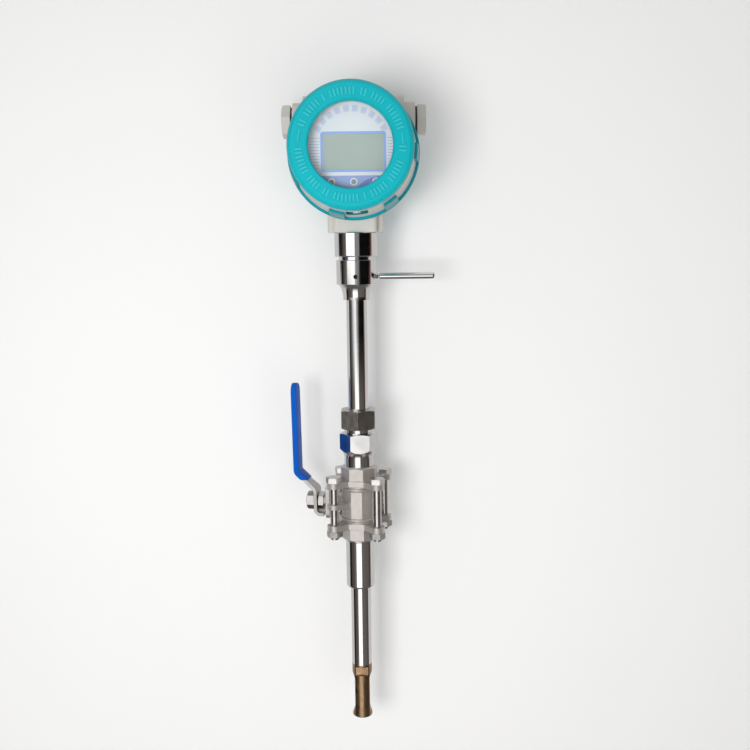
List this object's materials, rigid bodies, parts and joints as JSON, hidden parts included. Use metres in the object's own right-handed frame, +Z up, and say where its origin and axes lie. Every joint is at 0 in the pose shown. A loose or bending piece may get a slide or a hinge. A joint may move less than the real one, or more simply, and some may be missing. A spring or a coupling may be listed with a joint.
{
  "type": "insertion thermal mass flow meter",
  "caption": "Insertion thermal gas flow meter: a round two cover display housing on a long probe, which slides through a compression gland and an open ball valve to a bronze sensor tip.",
  "frame": {"origin": "centre of the weld nipple's lower end face, on the probe's axis", "axes": "+Z up the probe from the pipe to the display housing, -Y out of the display, +X to the right as the display is read"},
  "size_m": [0.1364, 0.1613, 0.5927],
  "materials": {
    "steel": "turned and polished stainless steel",
    "cast_steel": "blasted investment cast stainless steel",
    "polished_steel": "mirror polished stainless steel",
    "bronze": "turned bronze, oiled",
    "ptfe": "white fluoropolymer",
    "grip": "dipped blue vinyl, satin",
    "grey_paint": "warm grey powder coat on die cast aluminium",
    "teal_paint": "teal powder coat on die cast aluminium",
    "rubber": "black rubber",
    "board": "circuit board with lacquer",
    "black_plastic": "moulded black plastic",
    "white_plastic": "moulded white plastic",
    "face": "pale grey printed face plate",
    "screen": "grey green liquid crystal screen",
    "glass": "clear tempered glass",
    "key": "grey silicone key",
    "terminal": "green terminal strip"
  },
  "bodies": {
    "valve": {"weld_nipple": "polished_steel", "lower_end_cap": "cast_steel", "valve_body": "cast_steel", "upper_end_cap": "cast_steel", "body_bolts": "steel", "body_nuts": "steel", "lower_seat": "ptfe", "upper_seat": "ptfe", "body_seals": "ptfe", "stem_packing": "ptfe", "gland_body": "polished_steel", "gland_ferrule": "steel", "gland_nut": "steel"},
    "lever": {"ball": "polished_steel", "stem": "steel", "spring_washers": "steel", "stem_nut": "steel", "lever": "steel", "lever_grip": "grip", "lever_nut": "steel"},
    "probe": {"probe_tube": "polished_steel", "sensor_head": "bronze", "sensor_pins": "polished_steel", "signal_cable": "rubber", "probe_collar": "polished_steel", "set_screw": "steel", "direction_rod": "polished_steel"},
    "head": {"neck_sleeve": "polished_steel", "housing_body": "grey_paint", "display_barrel": "grey_paint", "union_ring": "teal_paint", "ground_screw": "steel", "left_conduit_plug": "grey_paint", "right_conduit_plug": "grey_paint", "left_plug_gasket": "rubber", "right_plug_gasket": "rubber", "front_oring": "rubber", "rear_oring": "rubber", "electronics_board": "board", "standoffs": "steel", "display_board": "board", "key_switches": "black_plastic", "lcd_module": "white_plastic", "lcd_glass": "screen", "face_plate": "face", "terminal_block": "terminal", "terminal_screws": "steel"},
    "front_cover": {"front_cover": "teal_paint", "window_gasket": "rubber", "window_glass": "glass", "glass_retainer": "steel"},
    "rear_cover": {"rear_cover": "teal_paint"},
    "left_key": {"left_key": "key"},
    "middle_key": {"middle_key": "key"},
    "right_key": {"right_key": "key"}
  },
  "joints": [
    {"name": "probe_slide", "type": "slide", "parent": "valve", "child": "probe", "axis": [0, 0, 1], "range_m": [-0.1, 0.23]},
    {"name": "head_swivel", "type": "hinge", "parent": "probe", "child": "head", "pos_m": [0, 0, 0.3119], "axis": [0, 0, 1], "range_deg": [-175, 175]},
    {"name": "lever_turn", "type": "hinge", "parent": "valve", "child": "lever", "pos_m": [0, 0, 0.0828], "axis": [-0.9877, 0.1564, 0], "range_deg": [0, 2.5]},
    {"name": "front_cover_off", "type": "slide", "parent": "head", "child": "front_cover", "axis": [0, -1, 0], "range_m": [0, 0.05]},
    {"name": "rear_cover_off", "type": "slide", "parent": "head", "child": "rear_cover", "axis": [0, 1, 0], "range_m": [0, 0.05]},
    {"name": "left_key_press", "type": "slide", "parent": "head", "child": "left_key", "axis": [0, 1, 0], "range_m": [0, 0.0006], "stiffness_N_per_m": 500, "springref_m": -0.002},
    {"name": "middle_key_press", "type": "slide", "parent": "head", "child": "middle_key", "axis": [0, 1, 0], "range_m": [0, 0.0006], "stiffness_N_per_m": 500, "springref_m": -0.002},
    {"name": "right_key_press", "type": "slide", "parent": "head", "child": "right_key", "axis": [0, 1, 0], "range_m": [0, 0.0006], "stiffness_N_per_m": 500, "springref_m": -0.002}
  ]
}
